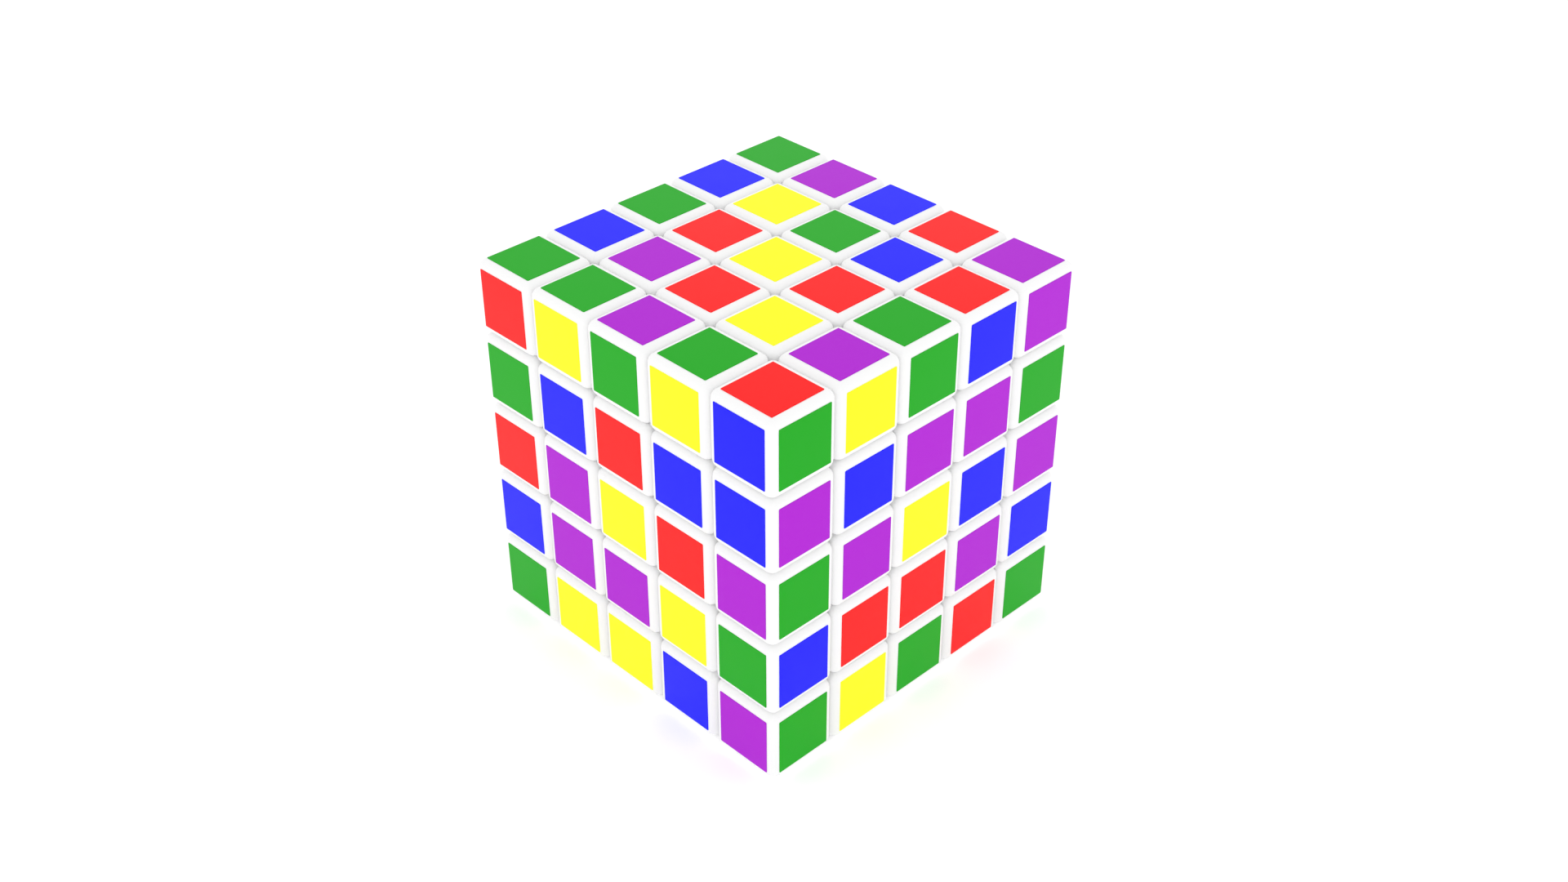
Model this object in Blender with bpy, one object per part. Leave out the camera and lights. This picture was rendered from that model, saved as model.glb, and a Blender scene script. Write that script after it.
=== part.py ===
"""A five-layer twisty puzzle cube, built in millimetres and turned to metres at the end.

Origin at the cube's centre, where every turning axis meets. +Z up, front face to -Y.
A cubie's place is three whole numbers from -2 to +2. Layers are parted by surfaces of revolution
about all three axes, so that every layer clears its neighbours through a full turn.
"""

import math

import bmesh
import bpy
from mathutils import Matrix, Vector

# overall (mm)
HALF = 31.5  # centre to an outer face
GAP = 0.3  # running gap between neighbours
PITCH = (2 * HALF + GAP) / 5  # centre to centre of neighbouring cubies
ROUNDING = 1.3  # radius along each cubie's outer edges
ROUNDING_STEPS = 1

# cuts between the layers
CUT_MIDDLE = PITCH / 2  # middle slice to the next slice
CUT_FACE = 1.5 * PITCH  # slice to the face layer
CONE_START = 29.5  # radius inside which the face layer's cut dips towards the centre
CONE_END = 17.0
CONE_SLOPE = 0.8
GROOVE = 2.0  # depth in which each cubie keeps its own rounded edges
OVERHANG = 0.02  # rounded block past the cut planes, so that the cut makes the side faces

# feet, which hold each cubie under its neighbours
FOOT_CUT_MIDDLE = 4.5
FOOT_CUT_FACE = 10.2
FOOT_TOP = 24.5  # radius between the feet and the visible cubies
FOOT_GAP = 0.6  # wider than GAP, because these balls have coarse facets
FOOT_CLEAR = 0.5  # feet to the core ball
NECK_HALF = 1.2
NECK_HALF_LENGTH = 2.0
CENTRE_NECK_HALF = 4.2

# core
BALL_R = 17.8
SHELL_WALL = 2.5
SHELL_HOLE_R = 3.3
ARM_R = 3.0
ARM_END = 17.4
HUB_HALF = 4.0
THREAD_HOLE_R = 1.4
THREAD_HOLE_DEPTH = 9.0

# fixed centres, screws and springs, along the outward axis
CENTRE_BORE_R = 1.6
WELL_R = 3.4
WELL_FLOOR = 21.5
BODY_TOP = 29.2
CAP_BOTTOM = 29.3
PLUG_R = 3.1
PLUG_END = 28.6
SCREW_R = 1.3
SCREW_END = 9.5
HEAD_R = 2.8
HEAD_FROM = 26.6
HEAD_TO = 28.2
DRIVE_LONG = 3.2
DRIVE_SHORT = 0.8
DRIVE_DEPTH = 0.9
SPRING_R = 2.45
SPRING_FROM = 21.85
SPRING_TO = 26.3
SPRING_TURNS = 4
WIRE_R = 0.25

# facets
TURN_STEPS = 24  # surfaces the layers turn on
BALL_STEPS = 24
ROUND_STEPS = 12
WIRE_SIDES = 4
COIL_STEPS = 8
FAR = 60.0  # outside everything
WELD = 0.001  # corners this close are one
FLAT = math.radians(0.1)  # faces this close in angle are one flat face
SHARP = math.radians(30)

METRES = 0.001
AXES = {"x": Matrix.Rotation(math.pi / 2, 4, "Y"), "y": Matrix.Rotation(-math.pi / 2, 4, "X"),
        "z": Matrix.Identity(4)}
SIDES = {"right": (1, 0, 0), "left": (-1, 0, 0), "back": (0, 1, 0), "front": (0, -1, 0),
         "top": (0, 0, 1), "bottom": (0, 0, -1)}
# name: colour, roughness, metallic
MATERIALS = {
    "white_plastic": ((0.9, 0.9, 0.9, 1), 0.4, 0),
    "core_plastic": ((0.62, 0.64, 0.66, 1), 0.5, 0),
    "steel": ((0.55, 0.55, 0.57, 1), 0.3, 1),
}


# ---- solids ----


def mesh_of(bm, outward=True):
    if outward:
        bmesh.ops.recalc_face_normals(bm, faces=bm.faces)
    mesh = bpy.data.meshes.new("solid")
    bm.to_mesh(mesh)
    bm.free()
    return mesh


def box(low, high):
    bm = bmesh.new()
    size = [b - a for a, b in zip(low, high)]
    middle = [(a + b) / 2 for a, b in zip(low, high)]
    bmesh.ops.create_cube(bm, size=1, matrix=Matrix.Translation(middle) @ Matrix.Diagonal((*size, 1)))
    return mesh_of(bm)


def rounded_box(low, high, radius):
    bm = bmesh.new()
    bm.from_mesh(box(low, high))
    bmesh.ops.bevel(bm, geom=bm.edges[:], offset=radius, segments=ROUNDING_STEPS, affect="EDGES",
                    profile=0.5, material=-1)
    return mesh_of(bm)


def lathe(profile, steps):
    """A closed solid of revolution about Z. The profile's (radius, height) points start and end on the axis."""
    bm = bmesh.new()
    rings = []
    for radius, height in profile:
        angles = [2 * math.pi * i / steps for i in range(steps)] if radius else [0]
        rings.append([bm.verts.new((radius * math.cos(a), radius * math.sin(a), height)) for a in angles])
    for one, two in zip(rings, rings[1:]):
        for i in range(steps):
            corners = [one[i % len(one)], one[(i + 1) % len(one)], two[(i + 1) % len(two)], two[i % len(two)]]
            bm.faces.new(dict.fromkeys(corners))
    return mesh_of(bm)


def ball(radius, steps=BALL_STEPS):
    """A faceted ball with its poles on X, away from every piece built with it."""
    bm = bmesh.new()
    bmesh.ops.create_uvsphere(bm, u_segments=steps, v_segments=steps // 2, radius=radius, matrix=AXES["x"])
    return mesh_of(bm)


def rod(radius, start, end, steps=ROUND_STEPS):
    return lathe([(0, start), (radius, start), (radius, end), (0, end)], steps)


def turned(mesh, matrix):
    copy = mesh.copy()
    copy.transform(matrix)
    return copy


def boolean(mesh, others, operation):
    """EXACT boolean of one mesh with each of the others in turn."""
    for other in others:
        pair = [bpy.data.objects.new("work", m) for m in (mesh, other)]
        for ob in pair:
            bpy.context.scene.collection.objects.link(ob)
        step = pair[0].modifiers.new("step", "BOOLEAN")
        step.operation, step.solver, step.object = operation, "EXACT", pair[1]
        mesh = bpy.data.meshes.new_from_object(pair[0].evaluated_get(bpy.context.evaluated_depsgraph_get()))
        for ob in pair:
            bpy.data.objects.remove(ob)
        mesh = cleaned(mesh)
    return mesh


def cleaned(mesh):
    """Welds a boolean's doubled corners, and joins the faces that it leaves split where they are flat."""
    bm = bmesh.new()
    bm.from_mesh(mesh)
    bmesh.ops.remove_doubles(bm, verts=bm.verts, dist=WELD)
    bmesh.ops.dissolve_limit(bm, angle_limit=FLAT, verts=bm.verts, edges=bm.edges)
    return mesh_of(bm, outward=False)


# ---- the space that belongs to a run of layers ----


def cut_above(place, shift):
    """The cut on the outer side of a layer, as (radius, height) points from the axis outwards."""
    if place < 0:
        return [(r, -h) for r, h in cut_above(-place - 1, -shift)]
    if place == 2:
        return [(0, FAR), (FAR, FAR)]
    if place == 0:
        return [(0, CUT_MIDDLE + shift), (FAR, CUT_MIDDLE + shift)]
    low = CUT_FACE - CONE_SLOPE * (CONE_START - CONE_END) + shift
    return [(0, low), (CONE_END, low), (CONE_START, CUT_FACE + shift), (FAR, CUT_FACE + shift)]


def layer_space(axis, low, high):
    """The space outside the feet that belongs to layers low to high on an axis."""
    under = cut_above(low - 1, GAP / 2) if low > -2 else [(0, -FAR), (FAR, -FAR)]
    over = cut_above(high, -GAP / 2)
    return turned(lathe([*under, *reversed(over)], TURN_STEPS), AXES[axis])


def foot_span(low, high):
    """The feet's reach on an axis for layers low to high."""
    half = GAP / 2
    cuts = {-3: -FAR, -2: -FOOT_CUT_FACE, -1: -FOOT_CUT_MIDDLE, 0: FOOT_CUT_MIDDLE, 1: FOOT_CUT_FACE, 2: FAR}
    return cuts[low - 1] + half, cuts[high] - half


# ---- cubies ----


def visible_part(places, low, high):
    """Cubies outside the feet: each rounded along its own edges, together cut to their space."""
    half = PITCH / 2 - GAP / 2 + OVERHANG
    rounded = []
    for place in places:
        near = [-HALF if p == -2 else p * PITCH - half for p in place]
        far = [HALF if p == 2 else p * PITCH + half for p in place]
        rounded.append(rounded_box(near, far, ROUNDING))
    deep = HALF - GROOVE
    solid = boolean(box([-deep] * 3, [deep] * 3), rounded, "UNION")
    solid = boolean(solid, [layer_space(*span) for span in zip("xyz", low, high)], "INTERSECT")
    return boolean(solid, [ball(FOOT_TOP + FOOT_GAP / 2)], "DIFFERENCE")


def foot_part(low, high):
    near, far = zip(*[foot_span(*span) for span in zip(low, high)])
    solid = boolean(box(near, far), [ball(FOOT_TOP - FOOT_GAP / 2)], "INTERSECT")
    return boolean(solid, [ball(BALL_R + FOOT_CLEAR)], "DIFFERENCE")


def neck(place):
    """A square post through the middle of the space that foot and visible cubie share."""
    beside = (CUT_MIDDLE + FOOT_CUT_FACE) / 2
    outer = [i for i, p in enumerate(place) if abs(p) == 2]
    line = [beside * p for p in place]
    left = (FOOT_TOP**2 - sum(line[i] ** 2 for i in range(3) if i not in outer)) / len(outer)
    for i in outer:
        line[i] = math.copysign(math.sqrt(left), place[i])
    side = CENTRE_NECK_HALF if len(outer) == 1 and not any(place[:2]) else NECK_HALF
    post = box((-side, -side, FOOT_TOP - NECK_HALF_LENGTH), (side, side, FOOT_TOP + NECK_HALF_LENGTH))
    return turned(post, Vector((0, 0, 1)).rotation_difference(Vector(line)).to_matrix().to_4x4())


def block(*places, notch=False):
    """Neighbouring cubies as one solid, with grooves between them. A notch leaves out the fixed centre's space."""
    low, high = [[pick(line) for line in zip(*places)] for pick in (min, max)]
    shown, hidden = visible_part(places, low, high), foot_part(low, high)
    if notch:
        shown, hidden = [
            boolean(solid, [box((-cut - GAP / 2, -cut - GAP / 2, 0), (FAR, FAR, FAR))], "DIFFERENCE")
            for solid, cut in ((shown, CUT_MIDDLE), (hidden, FOOT_CUT_MIDDLE))
        ]
    return boolean(shown, [*map(neck, places), hidden], "UNION")


# ---- fixed centres, screws, springs and core, each along +Z ----


def centre_body(whole):
    low = boolean(whole, [box((-FAR, -FAR, 0), (FAR, FAR, BODY_TOP))], "INTERSECT")
    return boolean(low, [rod(CENTRE_BORE_R, 0, FAR), rod(WELL_R, WELL_FLOOR, FAR)], "DIFFERENCE")


def centre_cap(whole):
    plate = boolean(whole, [box((-FAR, -FAR, CAP_BOTTOM), (FAR, FAR, FAR))], "INTERSECT")
    return boolean(plate, [rod(PLUG_R, PLUG_END, CAP_BOTTOM + GAP)], "UNION")


def screw():
    solid = lathe([(0, SCREW_END), (SCREW_R, SCREW_END), (SCREW_R, HEAD_FROM), (HEAD_R, HEAD_FROM),
                   (HEAD_R, HEAD_TO - GAP), (HEAD_R - GAP, HEAD_TO), (0, HEAD_TO)], ROUND_STEPS)
    long, short, floor = DRIVE_LONG / 2, DRIVE_SHORT / 2, HEAD_TO - DRIVE_DEPTH
    slots = [box((-a, -b, floor), (a, b, FAR)) for a, b in ((long, short), (short, long))]
    return boolean(solid, slots, "DIFFERENCE")


def spring():
    """A round wire wound about Z, closed at both ends."""
    bm = bmesh.new()
    steps = round(SPRING_TURNS * COIL_STEPS)
    rings = []
    for i in range(steps + 1):
        angle = 2 * math.pi * i / COIL_STEPS
        height = SPRING_FROM + (SPRING_TO - SPRING_FROM) * i / steps
        out = Vector((math.cos(angle), math.sin(angle), 0))
        across = [2 * math.pi * k / WIRE_SIDES for k in range(WIRE_SIDES)]
        rings.append([bm.verts.new(out * (SPRING_R + WIRE_R * math.cos(a))
                                   + Vector((0, 0, height + WIRE_R * math.sin(a)))) for a in across])
    for one, two in zip(rings, rings[1:]):
        for k in range(WIRE_SIDES):
            after = (k + 1) % WIRE_SIDES
            bm.faces.new((one[k], one[after], two[after], two[k]))
    bm.faces.new(rings[0])
    bm.faces.new(rings[-1])
    return mesh_of(bm)


def spider(turns):
    arms = [turned(rod(ARM_R, 0, ARM_END), t) for t in turns]
    holes = [turned(rod(THREAD_HOLE_R, ARM_END - THREAD_HOLE_DEPTH, FAR), t) for t in turns]
    hub = box([-HUB_HALF] * 3, [HUB_HALF] * 3)
    return boolean(boolean(hub, arms, "UNION"), holes, "DIFFERENCE")


def half_shell(turns, upper):
    edge = GAP / 2
    low, high = ((-FAR, -FAR, edge), (FAR, FAR, FAR)) if upper else ((-FAR, -FAR, -FAR), (FAR, FAR, -edge))
    wall = boolean(ball(BALL_R), [ball(BALL_R - SHELL_WALL, ROUND_STEPS)], "DIFFERENCE")
    wall = boolean(wall, [turned(rod(SHELL_HOLE_R, 0, FAR), t) for t in turns], "DIFFERENCE")
    return boolean(wall, [box(low, high)], "INTERSECT")


# ---- nodes ----


def finished(mesh, name, what):
    """A solid's mesh in metres, with its material and its round faces smooth."""
    mesh.name = name
    mesh.transform(Matrix.Scale(METRES, 4))
    mesh.materials.clear()
    mesh.materials.append(what)
    mesh.shade_smooth()
    mesh.set_sharp_from_angle(angle=SHARP)
    return mesh


def add_node(name, mesh, turn):
    """One object. Its origin is the cube's centre, which lies on every joint's axis."""
    ob = bpy.data.objects.new(name, mesh)
    bpy.context.scene.collection.objects.link(ob)
    ob.matrix_world = turn


def material(name):
    colour, roughness, metallic = MATERIALS[name]
    made = bpy.data.materials.new(name)
    made.use_nodes = True
    shader = made.node_tree.nodes["Principled BSDF"]
    shader.inputs["Base Color"].default_value = colour
    shader.inputs["Roughness"].default_value = roughness
    shader.inputs["Metallic"].default_value = metallic
    return made


def side_turn(side):
    """Turns something built along +Z to point out of a side."""
    out = Vector(SIDES[side])
    if out.z < -0.5:
        return Matrix.Rotation(math.pi, 4, "X")
    return Vector((0, 0, 1)).rotation_difference(out).to_matrix().to_4x4()


def layer_solids(white):
    """Every kind of solid that is made of cubies, in the one place that it is built."""
    solids = {
        "corner": block((-2, -2, 2)),
        "edge": block((-1, -2, 2), (0, -2, 2), (1, -2, 2)),
        "inner": block((-1, 0, 2), (-1, -1, 2), (0, -1, 2), (1, -1, 2), notch=True),
        "slice": block((-1, -2, 1), (0, -2, 1), (1, -2, 1), (2, -2, 1)),
        "middle": block((-1, -2, 0), (-2, -2, 0), (-2, -1, 0)),
    }
    return {name: finished(solid, name, white) for name, solid in solids.items()}


def layer_nodes():
    """Name, kind and turn of every node that is made of cubies."""
    over = Matrix.Rotation(math.pi, 4, "Y")  # top to bottom, front kept in front
    swap = {"left": "right", "right": "left"}
    sides = ("front", "left", "back", "right")
    corners = (("front", "left"), ("back", "left"), ("back", "right"), ("front", "right"))
    for i, (side, (near, across)) in enumerate(zip(sides, corners)):
        turn = Matrix.Rotation(-math.pi / 2 * i, 4, "Z")
        below = swap.get(side, side)
        yield f"corner_top_{near}_{across}", "corner", turn
        yield f"edge_top_{side}", "edge", turn
        yield f"slice_upper_{side}", "slice", turn
        yield f"middle_{near}_{across}", "middle", turn
        yield f"slice_lower_{below}", "slice", over @ turn
        yield f"edge_bottom_{below}", "edge", over @ turn
        yield f"corner_bottom_{near}_{swap[across]}", "corner", over @ turn
        if side in ("front", "back"):
            yield f"inner_top_{side}", "inner", turn
            yield f"inner_bottom_{side}", "inner", over @ turn


def main():
    for ob in list(bpy.data.objects):
        bpy.data.objects.remove(ob)
    white, core, steel = (material(name) for name in MATERIALS)
    solids = layer_solids(white)
    for name, kind, turn in layer_nodes():
        add_node(name, solids[kind], turn)
    turns = {side: side_turn(side) for side in SIDES}
    whole = block((0, 0, 2))
    kit = {"centre": (centre_body(whole), white), "cap": (centre_cap(whole), white),
           "screw": (screw(), steel), "spring": (spring(), steel)}
    for part, (solid, what) in kit.items():
        mesh = finished(solid, part, what)
        for side, turn in turns.items():
            add_node(f"{part}_{side}", mesh, turn)
    core_parts = {"core_spider": spider(turns.values()), "core_shell_upper": half_shell(turns.values(), True),
                  "core_shell_lower": half_shell(turns.values(), False)}
    for name, solid in core_parts.items():
        add_node(name, finished(solid, name, core), Matrix.Identity(4))


main()
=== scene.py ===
"""A five-layer twisty puzzle cube of white moulded cubies with coloured vinyl squares.

98 cubies and 150 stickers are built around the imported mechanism. Each rides on the layer or the fixed
centre that holds them, so that the layers turn. Shapes are made in millimetres and placed in metres.
"""

import math
import random
from itertools import permutations, product

import bmesh
import bpy
from bpy.props import FloatProperty, FloatVectorProperty, IntProperty, PointerProperty
from bpy.types import Operator, Panel, PropertyGroup
from mathutils import Matrix, Vector


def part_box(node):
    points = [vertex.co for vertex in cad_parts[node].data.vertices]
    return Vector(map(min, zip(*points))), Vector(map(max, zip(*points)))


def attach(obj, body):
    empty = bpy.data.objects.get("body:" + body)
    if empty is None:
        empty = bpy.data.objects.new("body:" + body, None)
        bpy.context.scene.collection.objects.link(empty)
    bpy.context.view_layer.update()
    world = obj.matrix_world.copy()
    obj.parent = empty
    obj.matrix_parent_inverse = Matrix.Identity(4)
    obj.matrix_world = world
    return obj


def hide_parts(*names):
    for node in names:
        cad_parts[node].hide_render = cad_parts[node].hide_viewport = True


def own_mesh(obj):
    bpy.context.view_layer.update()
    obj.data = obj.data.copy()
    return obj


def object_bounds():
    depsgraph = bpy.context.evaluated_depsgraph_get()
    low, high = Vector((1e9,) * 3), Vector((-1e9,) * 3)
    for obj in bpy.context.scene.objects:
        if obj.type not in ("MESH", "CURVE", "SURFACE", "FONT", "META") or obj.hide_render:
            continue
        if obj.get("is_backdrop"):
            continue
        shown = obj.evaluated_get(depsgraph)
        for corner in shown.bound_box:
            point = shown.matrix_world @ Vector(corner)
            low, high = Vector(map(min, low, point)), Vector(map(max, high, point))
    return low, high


bl_info = {
    "name": "Five-Layer Twisty Cube",
    "version": (1, 0, 0),
    "blender": (4, 5, 0),
    "location": "View3D > Sidebar > Twisty Cube",
    "description": "Cubies, stickers, fixings and studio for a five-layer twisty puzzle cube",
    "category": "Add Mesh",
}

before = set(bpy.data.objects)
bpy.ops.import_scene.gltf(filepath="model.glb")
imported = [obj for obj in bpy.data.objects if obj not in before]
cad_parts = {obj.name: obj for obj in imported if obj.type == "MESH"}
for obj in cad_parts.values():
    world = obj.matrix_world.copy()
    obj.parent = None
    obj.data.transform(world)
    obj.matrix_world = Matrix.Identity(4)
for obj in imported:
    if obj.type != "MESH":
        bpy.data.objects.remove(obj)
CAD_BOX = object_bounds()

# ---- sizes from the frame (mm) ----

MM = 1000  # millimetres in a metre
LAYERS = 5
EDGE = LAYERS // 2  # place number of an outer layer
HALF = CAD_BOX[1].z * MM  # centre to an outer face
CAP_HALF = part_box("cap_top")[1].x * MM
CAD_GAP = (2 * HALF - 2 * LAYERS * CAP_HALF) / (LAYERS - 1)
PITCH = 2 * CAP_HALF + CAD_GAP  # centre to centre of neighbouring cubies
CAP_SEAT = 0.1  # left between a centre's body and its cap
CAP_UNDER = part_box("centre_top")[1].z * MM + CAP_SEAT
PLUG_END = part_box("cap_top")[0].z * MM
SCREW_END, SCREW_TOP = (corner.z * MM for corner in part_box("screw_top"))
SCREW_HEAD_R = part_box("screw_top")[1].x * MM
SPRING_FROM, SPRING_TO = (corner.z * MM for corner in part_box("spring_top"))

# ---- the moulding's hidden shape (mm) ----

FACE_CUT = 1.5 * PITCH  # between an outer layer and the next one
MIDDLE_CUT = 0.5 * PITCH
CONE_START = 29.5  # inside this radius an outer layer's cut dips towards the centre
CONE_END = 17.0
CONE_SLOPE = 0.8
GROOVE = 2.0  # depth in which a cubie keeps its rounded edges
OVERHANG = 0.01  # rounded block past the cuts, so that the cuts make its side faces
FOOT_CUT_MIDDLE = 4.5
FOOT_CUT_FACE = 10.2
FOOT_TOP = 24.5
FOOT_GAP = 0.6
FOOT_ROUNDING = 0.6
FOOT_ROUNDING_STEPS = 3
BALL_STEPS = 64  # facets round the balls that cut the feet and the cubies above them
BALL_R = 18.3  # the feet slide over the core ball at this radius
NECK_HALF = 1.2
NECK_HALF_LENGTH = 2.0
PLUG_R = 3.1

# ---- screws and springs (mm) ----

WIRE_R = 0.25
WIRE_STEPS = 10  # facets round the wire
SPRING_R = 2.45
SPRING_TURNS = 4
TURN_STEPS = 32  # stretches of wire in one turn
THREAD_R = 1.3
THREAD_ROOT_R = 1.05
THREAD_PITCH = 0.8
RIDGE_SHARE = 0.3  # part of the pitch between a ridge's root and its crest
POINT_R = 0.63
PLAIN_SHANK = 2.0  # at least this much of the shank under the head has no thread
COLLAR = 1.0  # the last of it is as thick as the thread
COLLAR_BEVEL = 0.1
HEAD_HEIGHT = 1.6
CROWN_R = 0.88  # rounding of the head's upper edge
CROWN_STEPS = 5
DRIVE_LONG = 3.2
DRIVE_SHORT = 0.8
DRIVE_DEPTH = 0.9

# ---- modelling ----

FAR = 60.0  # past the whole cube (mm)
WELD = 0.001  # points closer than this are one (mm)
FLAT = math.radians(0.1)  # faces that meet at less are joined
SHARP = math.radians(30)  # edges that turn more stay crisp
FULL_TURN = 2 * math.pi
STICKER_CORNER_STEPS = 4
BROKEN_EDGE = 0.25  # part of a sticker's thickness that its upper edge loses
NOISE_LOW, NOISE_HIGH = 0.2, 0.8  # nearly all of a noise pattern lies between these
FLOOR_HALF = 3.0  # (m)
SENSOR_WIDTH = 36.0
CLIP_START = 0.01  # (m)

# side: the way out of it, the way across its rows, the way up its columns
SIDES = {
    "front": ((0, -1, 0), (1, 0, 0), (0, 0, 1)),
    "right": ((1, 0, 0), (0, 1, 0), (0, 0, 1)),
    "back": ((0, 1, 0), (-1, 0, 0), (0, 0, 1)),
    "left": ((-1, 0, 0), (0, -1, 0), (0, 0, 1)),
    "top": ((0, 0, 1), (1, 0, 0), (0, 1, 0)),
    "bottom": ((0, 0, -1), (1, 0, 0), (0, -1, 0)),
}
# the body that turns each level of cubies
BODIES = {2: "top_layer", 1: "upper_slice", 0: "middle_slice_and_core", -1: "lower_slice",
          -2: "bottom_layer"}
# what turns something built along +Z to lie along each axis
AXIS_TURNS = {"x": Matrix.Rotation(math.pi / 2, 4, "Y"), "y": Matrix.Rotation(-math.pi / 2, 4, "X"),
              "z": Matrix.Identity(4)}

# The scramble. Each row runs across its side, from the top row down.
COLOURS = {"R": "red", "G": "green", "B": "blue", "Y": "yellow", "P": "purple"}
SCRAMBLE = {
    "front": "RYGYB GBRBB RPYRP BPPYG GYYBP",
    "right": "GYGBP PBPPG GPYBP BRRPB GYGRG",
    "top": "GPBRP BYGBR GRYRG BPRYP GGPGR",
}
OTHER_SIDES = "G" * 12 + "B" * 15 + "P" * 13 + "Y" * 18 + "R" * 17  # so that each colour comes to 30
SCRAMBLE_SEED = 5


# ---- colours and finishes ----


def linear(hex_colour):
    """An sRGB hex colour as linear red, green, blue and alpha."""
    parts = [int(hex_colour[i:i + 2], 16) / 255 for i in (1, 3, 5)]
    return (*(p / 12.92 if p <= 0.04045 else ((p + 0.055) / 1.055) ** 2.4 for p in parts), 1.0)


def add(tree, kind, inputs=None, **fields):
    """Adds a shader node, sets its fields, and sets or links its inputs."""
    made = tree.nodes.new("ShaderNode" + kind)
    for name, value in fields.items():
        setattr(made, name, value)
    for name, value in (inputs or {}).items():
        if isinstance(value, bpy.types.NodeSocket):
            tree.links.new(value, made.inputs[name])
        else:
            made.inputs[name].default_value = value
    return made


def finish(name, colour, roughness, grain, height, patch, ior=1.5, specular=0.5, metallic=0.0, glow=0.0):
    """A plain-coloured surface whose grain and polish vary.

    Grain and patch are the sizes of the fine texture and of the changes in polish, and height is how
    deep the grain is, all in mm. Roughness runs between two values. Glow is the light it gives itself.
    """
    if name in bpy.data.materials:
        return bpy.data.materials[name]
    made = bpy.data.materials.new(name)
    made.use_nodes = True
    made.diffuse_color = colour
    tree = made.node_tree
    tree.nodes.clear()
    place = add(tree, "TexCoord").outputs["Object"]
    polish = add(tree, "TexNoise", {"Vector": place, "Scale": MM / patch, "Detail": 3.0,
                                    "Roughness": 0.5})
    shine = add(tree, "MapRange", {
        "Value": polish.outputs["Fac"], "From Min": NOISE_LOW, "From Max": NOISE_HIGH,
        "To Min": roughness[0], "To Max": roughness[1]})
    texture = add(tree, "TexNoise", {"Vector": place, "Scale": MM / grain, "Detail": 1.0,
                                     "Roughness": 0.5})
    bump = add(tree, "Bump", {"Height": texture.outputs["Fac"], "Distance": height / MM, "Strength": 1.0})
    shader = add(tree, "BsdfPrincipled", {
        "Base Color": colour, "Metallic": metallic, "IOR": ior, "Specular IOR Level": specular,
        "Roughness": shine.outputs["Result"], "Normal": bump.outputs["Normal"],
        "Emission Strength": glow})
    add(tree, "OutputMaterial", {"Surface": shader.outputs["BSDF"]})
    return made


def moulded_abs(colour):
    """White ABS, injection moulded in a fine-blasted tool: satin, with a faint pebbled grain."""
    # The real grain is near 0.1 mm, too fine to show, so it is drawn at 0.5 mm.
    return finish("moulded_white_abs", colour, (0.30, 0.42), grain=0.5, height=0.006, patch=5.0, ior=1.53)


def core_abs(colour):
    """Light grey ABS of the hidden core, moulded in a plainer tool: duller and coarser."""
    return finish("moulded_grey_abs", colour, (0.45, 0.6), grain=0.7, height=0.012, patch=6.0, ior=1.53)


def cast_vinyl(name, colour):
    """Die-cut cast vinyl film: flat bright colour under a smooth skin with a slight orange peel."""
    return finish(f"cast_vinyl_{name}", colour, (0.29, 0.35), grain=2.2, height=0.0015, patch=4.0,
                  specular=0.15)


def zinc_steel():
    """Zinc-plated steel of the screws: bright, with a cool grey cast and fine plating grain."""
    return finish("zinc_plated_steel", linear("#C9CCD1"), (0.22, 0.36), grain=0.3, height=0.003, patch=1.5,
                  metallic=1.0)


def spring_steel():
    """Drawn spring wire: darker and smoother than the plated screws."""
    return finish("drawn_spring_steel", linear("#A7A9AC"), (0.18, 0.28), grain=0.25, height=0.002,
                  patch=1.0, metallic=1.0)


def opal_acrylic(colour, glow):
    """Matted opal acrylic of a light table: even and white, lit a little from below."""
    return finish("matt_opal_acrylic", colour, (0.75, 0.9), grain=1.5, height=0.01, patch=40.0, ior=1.49,
                  glow=glow)


# ---- making meshes ----


def mesh_of(work, outward=True):
    """Takes the mesh out of a bmesh, with its faces turned outwards unless they already are."""
    if outward:
        bmesh.ops.recalc_face_normals(work, faces=work.faces)
    mesh = bpy.data.meshes.new("shape")
    work.to_mesh(mesh)
    work.free()
    return mesh


def block(low, high, rounding=0.0, steps=1):
    """A box between two corners, with its edges rounded."""
    work = bmesh.new()
    size = [b - a for a, b in zip(low, high)]
    middle = [(a + b) / 2 for a, b in zip(low, high)]
    bmesh.ops.create_cube(work, size=1, matrix=Matrix.Translation(middle) @ Matrix.Diagonal((*size, 1)))
    if rounding:
        bmesh.ops.bevel(work, geom=work.edges[:], offset=rounding, segments=steps, affect="EDGES",
                        profile=0.5, material=-1)
    return mesh_of(work)


def revolved(profile, steps):
    """A solid of revolution about Z from (radius, height) points that start and end on the axis."""
    work = bmesh.new()
    line = [work.verts.new((radius, 0, height)) for radius, height in profile]
    edges = [work.edges.new(pair) for pair in zip(line, line[1:])]
    bmesh.ops.spin(work, geom=line + edges, cent=(0, 0, 0), axis=(0, 0, 1), dvec=(0, 0, 0),
                   angle=FULL_TURN, steps=steps, use_merge=True, use_duplicate=False)
    bmesh.ops.remove_doubles(work, verts=work.verts, dist=WELD)
    return mesh_of(work)


def ball(radius, steps):
    """A ball with its poles on X, away from every cubie that it shapes."""
    work = bmesh.new()
    bmesh.ops.create_uvsphere(work, u_segments=steps, v_segments=steps // 2, radius=radius,
                              matrix=AXIS_TURNS["x"])
    return mesh_of(work)


def rod(radius, start, end, steps=48):
    return revolved([(0, start), (radius, start), (radius, end), (0, end)], steps)


def turned(mesh, matrix):
    """A copy of a mesh, moved by a matrix."""
    copy = mesh.copy()
    copy.transform(matrix)
    return copy


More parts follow.
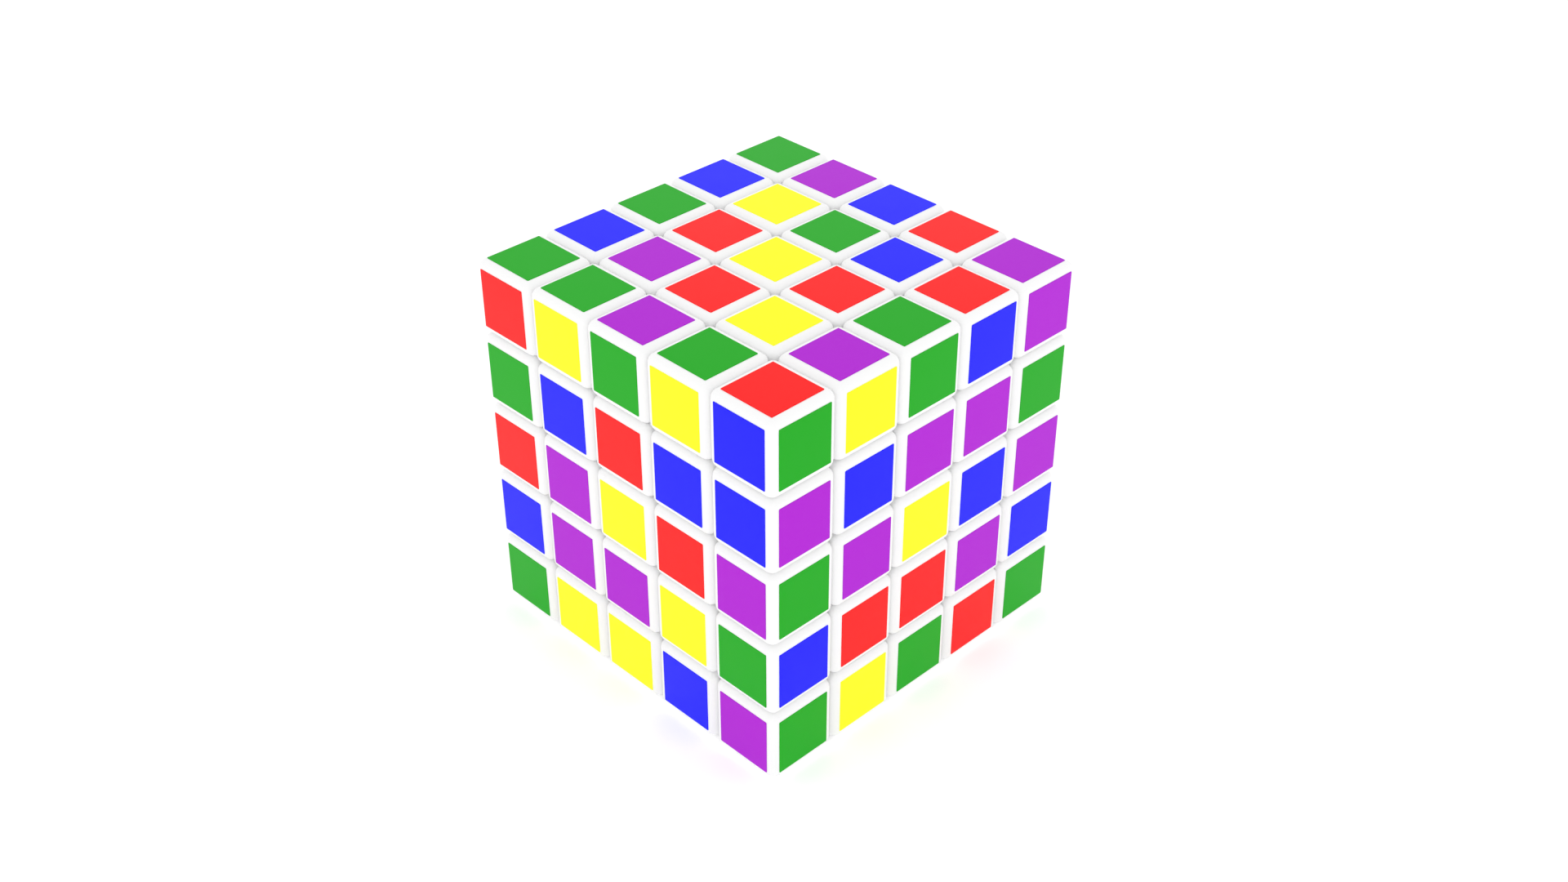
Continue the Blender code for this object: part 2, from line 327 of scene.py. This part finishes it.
def shaped(mesh, tools, operation):
    """One mesh cut by, joined to or kept inside each of the others in turn."""
    for tool in tools:
        pair = [bpy.data.objects.new("work", part) for part in (mesh, tool)]
        for ob in pair:
            bpy.context.scene.collection.objects.link(ob)
        step = pair[0].modifiers.new("step", "BOOLEAN")
        step.operation, step.solver, step.object = operation, "EXACT", pair[1]
        view = bpy.context.evaluated_depsgraph_get()
        mesh = bpy.data.meshes.new_from_object(pair[0].evaluated_get(view))
        for ob in pair:
            bpy.data.objects.remove(ob)
        work = bmesh.new()
        work.from_mesh(mesh)
        bmesh.ops.remove_doubles(work, verts=work.verts, dist=WELD)
        bmesh.ops.dissolve_limit(work, angle_limit=FLAT, verts=work.verts, edges=work.edges)
        mesh = mesh_of(work, outward=False)
    return mesh


def add_piece(name, mesh, turn, body, material, stands_for=None):
    """Adds one piece with its place in its own mesh, and says what it rides on."""
    own = turned(mesh, Matrix.Scale(1 / MM, 4) @ turn)
    own.name = name
    own.materials.clear()
    own.materials.append(material)
    own.shade_smooth()
    own.set_sharp_from_angle(angle=SHARP)
    ob = bpy.data.objects.new(name, own)
    bpy.context.scene.collection.objects.link(ob)
    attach(ob, body)
    if stands_for:
        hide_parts(stands_for)
    return ob


# ---- where each cubie is ----


def places_of(kind):
    """Every place in the cube whose distances from the middle are the kind's."""
    return [place for place in product(range(EDGE, -EDGE - 1, -1), repeat=3)
            if tuple(sorted(map(abs, place))) == kind]


def turn_to(kind, place):
    """The quarter-turn rotation that takes a kind's own place to another of its places."""
    for order in permutations(range(3)):
        for signs in product((1, -1), repeat=3):
            turn = Matrix([[signs[row] if order[row] == column else 0 for column in range(3)]
                           for row in range(3)])
            if turn.determinant() > 0 and tuple(round(v) for v in turn @ Vector(kind)) == place:
                return turn.to_4x4()
    raise ValueError(f"no turn takes {kind} to {place}")


def side_turn(side):
    """Turns something built along +Z, with its top to +Y, to stand on a side."""
    out, across, up = (Vector(way) for way in SIDES[side])
    return Matrix([across, up, out]).transposed().to_4x4()


def side_of(place):
    return next(side for side, (out, _, _) in SIDES.items() if tuple(EDGE * n for n in out) == place)


def is_centre(place):
    return sorted(map(abs, place)) == [0, 0, EDGE]


def body_of(place):
    return f"centre_{side_of(place)}" if is_centre(place) else BODIES[place[2]]


def node_of(place):
    """The mechanism's solid that a cubie stands for."""
    x, y, z = place
    near, across = "front" if y < 0 else "back", "left" if x < 0 else "right"
    if is_centre(place):
        return f"cap_{side_of(place)}"
    if z == 0:
        return f"middle_{near}_{across}"
    if abs(z) == 1:
        hand = x * z  # the lower slice is the upper one turned over
        side = {(y == -2 and hand > -2): "front", (hand == -2 and y < 2): "left",
                (y == 2 and hand < 2): "back", (hand == 2 and y > -2): "right"}[True]
        swap = {"left": "right", "right": "left"} if z < 0 else {}
        return f"slice_{'upper' if z > 0 else 'lower'}_{swap.get(side, side)}"
    level = "top" if z > 0 else "bottom"
    if abs(x) == abs(y) == EDGE:
        return f"corner_{level}_{near}_{across}"
    if abs(y) == EDGE:
        return f"edge_{level}_{near}"
    if abs(x) == EDGE:
        return f"edge_{level}_{across}"
    ahead = y < 0 or (y == 0 and x * z < 0)
    return f"inner_{level}_{'front' if ahead else 'back'}"


def place_name(place):
    """A place in words, such as top_left2_front1, leaving out the middle ones."""
    words = []
    ways = (("bottom", "top"), ("front", "back"), ("left", "right"))
    for distance, (low, high) in zip(reversed(place), ways):
        if distance:
            words.append(f"{high if distance > 0 else low}{abs(distance)}")
    return "_".join(words)


# ---- the shape of a cubie ----


def outer_cut(place, shift):
    """A layer's outer cut, as (radius, height) points from the axis outwards."""
    if place < 0:
        return [(r, -h) for r, h in outer_cut(-place - 1, -shift)]
    if place == EDGE:
        return [(0, FAR), (FAR, FAR)]
    if place == 0:
        return [(0, MIDDLE_CUT + shift), (FAR, MIDDLE_CUT + shift)]
    low = FACE_CUT - CONE_SLOPE * (CONE_START - CONE_END) + shift
    return [(0, low), (CONE_END, low), (CONE_START, FACE_CUT + shift), (FAR, FACE_CUT + shift)]


def layer_space(axis, place, seam, steps):
    """What belongs to one layer outside the feet, turned so that it clears its neighbours."""
    under = outer_cut(place - 1, seam / 2) if place > -EDGE else [(0, -FAR), (FAR, -FAR)]
    over = outer_cut(place, -seam / 2)
    return turned(revolved([*under, *reversed(over)], steps), AXIS_TURNS[axis])


def foot(kind):
    """The foot that the layer's neighbours hold down, between the core ball and the shown cubies."""
    # the cut on the far side of each place that a kind can have
    cuts = {-1: -FOOT_CUT_MIDDLE, 0: FOOT_CUT_MIDDLE, 1: FOOT_CUT_FACE, 2: FAR}
    near = [cuts[p - 1] + CAD_GAP / 2 for p in kind]
    far = [cuts[p] - CAD_GAP / 2 for p in kind]
    solid = block(near, far, FOOT_ROUNDING, FOOT_ROUNDING_STEPS)
    solid = shaped(solid, [ball(FOOT_TOP - FOOT_GAP / 2, BALL_STEPS)], "INTERSECT")
    return shaped(solid, [ball(BALL_R, BALL_STEPS)], "DIFFERENCE")


def neck(kind):
    """The post that joins a shown cubie to its foot."""
    beside = (MIDDLE_CUT + FOOT_CUT_FACE) / 2
    outer = [i for i, p in enumerate(kind) if p == EDGE]
    line = [beside * p for p in kind]
    left = (FOOT_TOP**2 - sum(line[i] ** 2 for i in range(3) if i not in outer)) / len(outer)
    for i in outer:
        line[i] = math.sqrt(left)
    post = block((-NECK_HALF, -NECK_HALF, FOOT_TOP - NECK_HALF_LENGTH),
                 (NECK_HALF, NECK_HALF, FOOT_TOP + NECK_HALF_LENGTH))
    return turned(post, Vector((0, 0, 1)).rotation_difference(Vector(line)).to_matrix().to_4x4())


def shown_cubie(kind, sizes):
    """The cubie outside the feet, rounded along its edges and cut by the turning surfaces."""
    half = (PITCH - sizes.seam * MM) / 2 + OVERHANG
    near = [p * PITCH - half for p in kind]
    far = [HALF if p == EDGE else p * PITCH + half for p in kind]
    deep = HALF - GROOVE
    rounded = block(near, far, sizes.rounding * MM, sizes.rounding_steps)
    solid = shaped(block([-deep] * 3, [deep] * 3), [rounded], "UNION")
    spaces = [layer_space(axis, p, sizes.seam * MM, sizes.turning_steps) for axis, p in zip("xyz", kind)]
    solid = shaped(solid, spaces, "INTERSECT")
    return shaped(solid, [ball(FOOT_TOP + FOOT_GAP / 2, BALL_STEPS)], "DIFFERENCE")


def whole_cubie(kind, sizes):
    return shaped(shown_cubie(kind, sizes), [neck(kind), foot(kind)], "UNION")


def centre_cap(kind, sizes):
    """The cap of a fixed centre, with the plug that holds it in the screw's well."""
    above = block((-FAR, -FAR, CAP_UNDER), (FAR, FAR, FAR))
    plate = shaped(shown_cubie(kind, sizes), [above], "INTERSECT")
    return shaped(plate, [rod(PLUG_R, PLUG_END, CAP_UNDER + CAD_GAP)], "UNION")


def add_cubies(name, kind, shape):
    """Adds every cubie of one kind, as turned copies of one shape."""
    sizes = bpy.context.scene.twisty_cubies
    mesh = shape(kind, sizes)
    white = moulded_abs(tuple(sizes.plastic))
    for place in places_of(kind):
        add_piece(f"{name}_{place_name(place)}", mesh, turn_to(kind, place), body_of(place),
                  white, node_of(place))


# ---- fixings ----


def spring_coil():
    """A round wire wound about Z, with its ends closed."""
    work = bmesh.new()
    matrix = Matrix.Translation((SPRING_R, 0, SPRING_FROM + WIRE_R)) @ AXIS_TURNS["y"]
    bmesh.ops.create_circle(work, cap_ends=False, segments=WIRE_STEPS, radius=WIRE_R, matrix=matrix)
    steps = TURN_STEPS * SPRING_TURNS
    rise = (SPRING_TO - SPRING_FROM - 2 * WIRE_R) / steps
    bmesh.ops.spin(work, geom=work.verts[:] + work.edges[:], cent=(0, 0, 0), axis=(0, 0, 1),
                   dvec=(0, 0, rise), angle=FULL_TURN * SPRING_TURNS, steps=steps, use_merge=False,
                   use_duplicate=False)
    bmesh.ops.holes_fill(work, edges=[e for e in work.edges if e.is_boundary], sides=0)
    return mesh_of(work)


def machine_screw():
    """A pan-head screw along Z with a cross drive, and a ridged shank for its thread."""
    head = SCREW_TOP - HEAD_HEIGHT
    profile = [(0, SCREW_END), (POINT_R, SCREW_END)]
    ridges = int((head - PLAIN_SHANK - SCREW_END) / THREAD_PITCH)
    for i in range(ridges):
        crest = SCREW_END + THREAD_PITCH * (i + 0.5)
        profile += [(THREAD_ROOT_R, crest - THREAD_PITCH * RIDGE_SHARE), (THREAD_R, crest)]
    profile += [(THREAD_ROOT_R, SCREW_END + THREAD_PITCH * (ridges + 0.5 - RIDGE_SHARE)),
                (THREAD_ROOT_R, head - COLLAR), (THREAD_R, head - COLLAR + COLLAR_BEVEL),
                (THREAD_R, head), (SCREW_HEAD_R, head)]
    for i in range(CROWN_STEPS + 1):
        angle = math.pi / 2 * i / CROWN_STEPS
        profile.append((SCREW_HEAD_R - CROWN_R * (1 - math.cos(angle)),
                        SCREW_TOP - CROWN_R * (1 - math.sin(angle))))
    profile.append((0, SCREW_TOP))
    solid = revolved(profile, 32)
    long, short, floor = DRIVE_LONG / 2, DRIVE_SHORT / 2, SCREW_TOP - DRIVE_DEPTH
    slots = [block((-a, -b, floor), (a, b, FAR)) for a, b in ((long, short), (short, long))]
    return shaped(solid, slots, "DIFFERENCE")


# ---- stickers ----


def sticker(side, thickness, corner):
    """A die-cut square of film lying on z = 0, with a slightly broken upper edge."""
    work = bmesh.new()
    bmesh.ops.create_cube(work, size=1, matrix=Matrix.Translation((0, 0, thickness / 2))
                          @ Matrix.Diagonal((side, side, thickness, 1)))
    upright = [e for e in work.edges if abs(e.verts[0].co.z - e.verts[1].co.z) > thickness / 2]
    bmesh.ops.bevel(work, geom=upright, offset=corner, segments=STICKER_CORNER_STEPS, affect="EDGES",
                    profile=0.5, material=-1)
    rim = [e for e in work.edges if all(v.co.z > thickness / 2 for v in e.verts)]
    bmesh.ops.bevel(work, geom=rim, offset=thickness * BROKEN_EDGE, segments=1, affect="EDGES",
                    profile=0.5, material=-1)
    return mesh_of(work)


def scramble():
    """Each side's 25 letters. The sides with no set scramble share out the rest."""
    rest = list(OTHER_SIDES)
    random.Random(SCRAMBLE_SEED).shuffle(rest)
    letters = {}
    for side in SIDES:
        if side in SCRAMBLE:
            letters[side] = SCRAMBLE[side].replace(" ", "")
        else:
            letters[side], rest = rest[:LAYERS**2], rest[LAYERS**2:]
    return letters


# ---- settings ----


def length_setting(name, default, description):
    return FloatProperty(name=name, description=description, default=default, min=0.0, precision=5,
                         unit="LENGTH", subtype="DISTANCE")


def colour_setting(name, hex_colour, description):
    return FloatVectorProperty(name=name, description=description, default=linear(hex_colour), size=4,
                               min=0.0, max=1.0, subtype="COLOR")


class CubieSettings(PropertyGroup):
    seam: length_setting("Seam", 0.0001, "Gap that shows between neighbouring cubies")
    rounding: length_setting("Edge rounding", 0.0014, "Radius along each cubie's outer edges")
    rounding_steps: IntProperty(name="Rounding steps", description="Facets across a rounded edge",
                                default=6, min=1, max=12)
    turning_steps: IntProperty(name="Turning steps", default=96, min=24, max=192,
                               description="Facets round the surfaces that the layers turn on")
    plastic: colour_setting("Cubie plastic", "#F1F1F1", "Colour of the shown cubies")
    core: colour_setting("Core plastic", "#CED1D4", "Colour of the hidden core")


class StickerSettings(PropertyGroup):
    side: length_setting("Side", 0.00976, "Side of a square")
    thickness: length_setting("Thickness", 0.0001, "Thickness of the film")
    corner: length_setting("Corner radius", 0.00012, "Radius that the die leaves at a corner")
    red: colour_setting("Red", "#F80000", "Red film")
    green: colour_setting("Green", "#00A400", "Green film")
    blue: colour_setting("Blue", "#0000F8", "Blue film")
    yellow: colour_setting("Yellow", "#FDFD00", "Yellow film")
    purple: colour_setting("Purple", "#AB00CC", "Purple film")


class StageSettings(PropertyGroup):
    floor: colour_setting("Floor", "#FFFFFF", "Colour of the light table under the cube")
    glow: FloatProperty(name="Glow", description="Brightness of the light table from below", default=0.18,
                        min=0.0)
    light: FloatProperty(name="Light", description="Brightness of the white tent around the stage",
                         default=1.09, min=0.0)
    azimuth: FloatProperty(name="Azimuth", description="Camera's turn from the front towards the right",
                           default=math.radians(45.77), unit="ROTATION", subtype="ANGLE")
    elevation: FloatProperty(name="Elevation", description="Camera's height over the cube's middle, as an "
                             "angle", default=math.radians(33.86), unit="ROTATION", subtype="ANGLE")
    distance: length_setting("Distance", 0.2962, "Camera to the cube's middle")
    aim_right: FloatProperty(name="Aim right", description="How far right of the middle the camera aims",
                             default=0.00122, unit="LENGTH", subtype="DISTANCE")
    aim_up: FloatProperty(name="Aim up", description="How far above the middle the camera aims",
                          default=-0.00075, unit="LENGTH", subtype="DISTANCE")
    lens: FloatProperty(name="Lens", default=43.3, min=1.0, unit="CAMERA",
                        description=f"Focal length on a sensor {SENSOR_WIDTH:g} mm wide")


# ---- operators ----


class TWISTY_OT_corners(Operator):
    """Add the 8 corner cubies, which show three faces each"""
    bl_idname = "twisty.corners"
    bl_label = "Corner cubies"
    bl_options = {"REGISTER", "UNDO"}

    def execute(self, context):
        add_cubies("corner_cubie", (2, 2, 2), whole_cubie)
        return {"FINISHED"}


class TWISTY_OT_wings(Operator):
    """Add the 24 edge cubies beside the corners"""
    bl_idname = "twisty.wings"
    bl_label = "Wing cubies"
    bl_options = {"REGISTER", "UNDO"}

    def execute(self, context):
        add_cubies("wing_cubie", (1, 2, 2), whole_cubie)
        return {"FINISHED"}


class TWISTY_OT_mid_edges(Operator):
    """Add the 12 cubies in the middle of the edges"""
    bl_idname = "twisty.mid_edges"
    bl_label = "Middle edge cubies"
    bl_options = {"REGISTER", "UNDO"}

    def execute(self, context):
        add_cubies("mid_edge_cubie", (0, 2, 2), whole_cubie)
        return {"FINISHED"}


class TWISTY_OT_diagonals(Operator):
    """Add the 24 face cubies set diagonally from the fixed centres"""
    bl_idname = "twisty.diagonals"
    bl_label = "Diagonal face cubies"
    bl_options = {"REGISTER", "UNDO"}

    def execute(self, context):
        add_cubies("diagonal_cubie", (1, 1, 2), whole_cubie)
        return {"FINISHED"}


class TWISTY_OT_straights(Operator):
    """Add the 24 face cubies set squarely beside the fixed centres"""
    bl_idname = "twisty.straights"
    bl_label = "Straight face cubies"
    bl_options = {"REGISTER", "UNDO"}

    def execute(self, context):
        add_cubies("straight_cubie", (0, 1, 2), whole_cubie)
        return {"FINISHED"}


class TWISTY_OT_centre_caps(Operator):
    """Add the 6 caps that plug into the fixed centres over their screws"""
    bl_idname = "twisty.centre_caps"
    bl_label = "Centre caps"
    bl_options = {"REGISTER", "UNDO"}

    def execute(self, context):
        add_cubies("centre_cap", (0, 0, 2), centre_cap)
        return {"FINISHED"}


class TWISTY_OT_stickers(Operator):
    """Add the 150 coloured vinyl squares in their scramble"""
    bl_idname = "twisty.stickers"
    bl_label = "Stickers"
    bl_options = {"REGISTER", "UNDO"}

    def execute(self, context):
        sizes = context.scene.twisty_stickers
        mesh = sticker(sizes.side * MM, sizes.thickness * MM, sizes.corner * MM)
        films = {letter: cast_vinyl(name, tuple(getattr(sizes, name)))
                 for letter, name in COLOURS.items()}
        for side, letters in scramble().items():
            out, across, up = (Vector(way) for way in SIDES[side])
            for i, letter in enumerate(letters):
                row, column = divmod(i, LAYERS)
                spot = EDGE * out + (column - EDGE) * across + (EDGE - row) * up
                middle = out * HALF + ((column - EDGE) * across + (EDGE - row) * up) * PITCH
                add_piece(f"sticker_{side}_{row + 1}_{column + 1}", mesh,
                          Matrix.Translation(middle) @ side_turn(side), body_of(tuple(map(round, spot))),
                          films[letter])
        return {"FINISHED"}


class TWISTY_OT_fixings(Operator):
    """Add the 6 screws and 6 springs that hold the fixed centres to the core"""
    bl_idname = "twisty.fixings"
    bl_label = "Screws and springs"
    bl_options = {"REGISTER", "UNDO"}

    def execute(self, context):
        screw, coil = machine_screw(), spring_coil()
        for side, (out, _, _) in SIDES.items():
            add_piece(f"screw_{side}_detailed", screw, side_turn(side), BODIES[0], zinc_steel(),
                      f"screw_{side}")
            spring = add_piece(f"spring_{side}_detailed", coil, side_turn(side), BODIES[0],
                               spring_steel(), f"spring_{side}")
            # A lifted centre presses its spring against the screw's head.
            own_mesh(spring)
        return {"FINISHED"}


class TWISTY_OT_mechanism(Operator):
    """Give the core and the fixed centres' bodies their finishes"""
    bl_idname = "twisty.mechanism"
    bl_label = "Core and centre bodies"
    bl_options = {"REGISTER", "UNDO"}

    def execute(self, context):
        sizes = context.scene.twisty_cubies
        plastics = {"core": core_abs(tuple(sizes.core)), "centre": moulded_abs(tuple(sizes.plastic))}
        for name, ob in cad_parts.items():
            plastic = plastics.get(name.split("_")[0])
            if plastic:
                for slot in ob.material_slots:
                    slot.material = plastic
        return {"FINISHED"}


class TWISTY_OT_stage(Operator):
    """Add the pale light table, the white light tent and the camera"""
    bl_idname = "twisty.stage"
    bl_label = "Stage, light and camera"
    bl_options = {"REGISTER", "UNDO"}

    def execute(self, context):
        sizes, scene = context.scene.twisty_stage, context.scene
        work = bmesh.new()
        bmesh.ops.create_grid(work, x_segments=1, y_segments=1, size=FLOOR_HALF,
                              matrix=Matrix.Translation((0, 0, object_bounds()[0].z)))
        mesh = mesh_of(work, outward=False)
        mesh.name = "floor"
        mesh.materials.append(opal_acrylic(tuple(sizes.floor), sizes.glow))
        floor = bpy.data.objects.new("floor", mesh)
        scene.collection.objects.link(floor)
        floor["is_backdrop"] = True

        world = bpy.data.worlds.new("light_tent")
        world.use_nodes = True
        world.node_tree.nodes.clear()
        glow = add(world.node_tree, "Background", {"Color": linear("#FFFFFF"), "Strength": sizes.light})
        add(world.node_tree, "OutputWorld", {"Surface": glow.outputs["Background"]})
        scene.world = world
        scene.view_settings.view_transform = "Standard"

        camera = bpy.data.objects.new("camera", bpy.data.cameras.new("camera"))
        camera.data.sensor_width = SENSOR_WIDTH
        camera.data.lens = sizes.lens
        camera.data.clip_start = CLIP_START
        flat = math.cos(sizes.elevation)
        place = sizes.distance * Vector((flat * math.sin(sizes.azimuth), -flat * math.cos(sizes.azimuth),
                                         math.sin(sizes.elevation)))
        look = (-place).to_track_quat("-Z", "Y")
        target = look @ Vector((sizes.aim_right, sizes.aim_up, 0))
        camera.matrix_world = Matrix.LocRotScale(place, (target - place).to_track_quat("-Z", "Y"), None)
        scene.collection.objects.link(camera)
        scene.camera = camera
        return {"FINISHED"}


OPERATORS = (
    TWISTY_OT_corners, TWISTY_OT_wings, TWISTY_OT_mid_edges, TWISTY_OT_diagonals, TWISTY_OT_straights,
    TWISTY_OT_centre_caps, TWISTY_OT_stickers, TWISTY_OT_fixings, TWISTY_OT_mechanism, TWISTY_OT_stage)
SETTINGS = {
    "twisty_cubies": CubieSettings, "twisty_stickers": StickerSettings, "twisty_stage": StageSettings}


class TWISTY_PT_panel(Panel):
    """The cube's settings and the buttons that build it"""
    bl_idname = "TWISTY_PT_panel"
    bl_label = "Twisty Cube"
    bl_space_type = "VIEW_3D"
    bl_region_type = "UI"
    bl_category = "Twisty Cube"

    def draw(self, context):
        for name in SETTINGS:
            box = self.layout.box()
            settings = getattr(context.scene, name)
            for prop in settings.__annotations__:
                box.prop(settings, prop)
        for operator in OPERATORS:
            self.layout.operator(operator.bl_idname)


def register():
    for cls in (*SETTINGS.values(), *OPERATORS, TWISTY_PT_panel):
        bpy.utils.register_class(cls)
    for name, cls in SETTINGS.items():
        setattr(bpy.types.Scene, name, PointerProperty(type=cls))


def unregister():
    for name in SETTINGS:
        delattr(bpy.types.Scene, name)
    for cls in reversed((*SETTINGS.values(), *OPERATORS, TWISTY_PT_panel)):
        bpy.utils.unregister_class(cls)


def main():
    register()
    for operator in OPERATORS:
        group, name = operator.bl_idname.split(".")
        getattr(getattr(bpy.ops, group), name)()


if __name__ == "__main__":
    main()
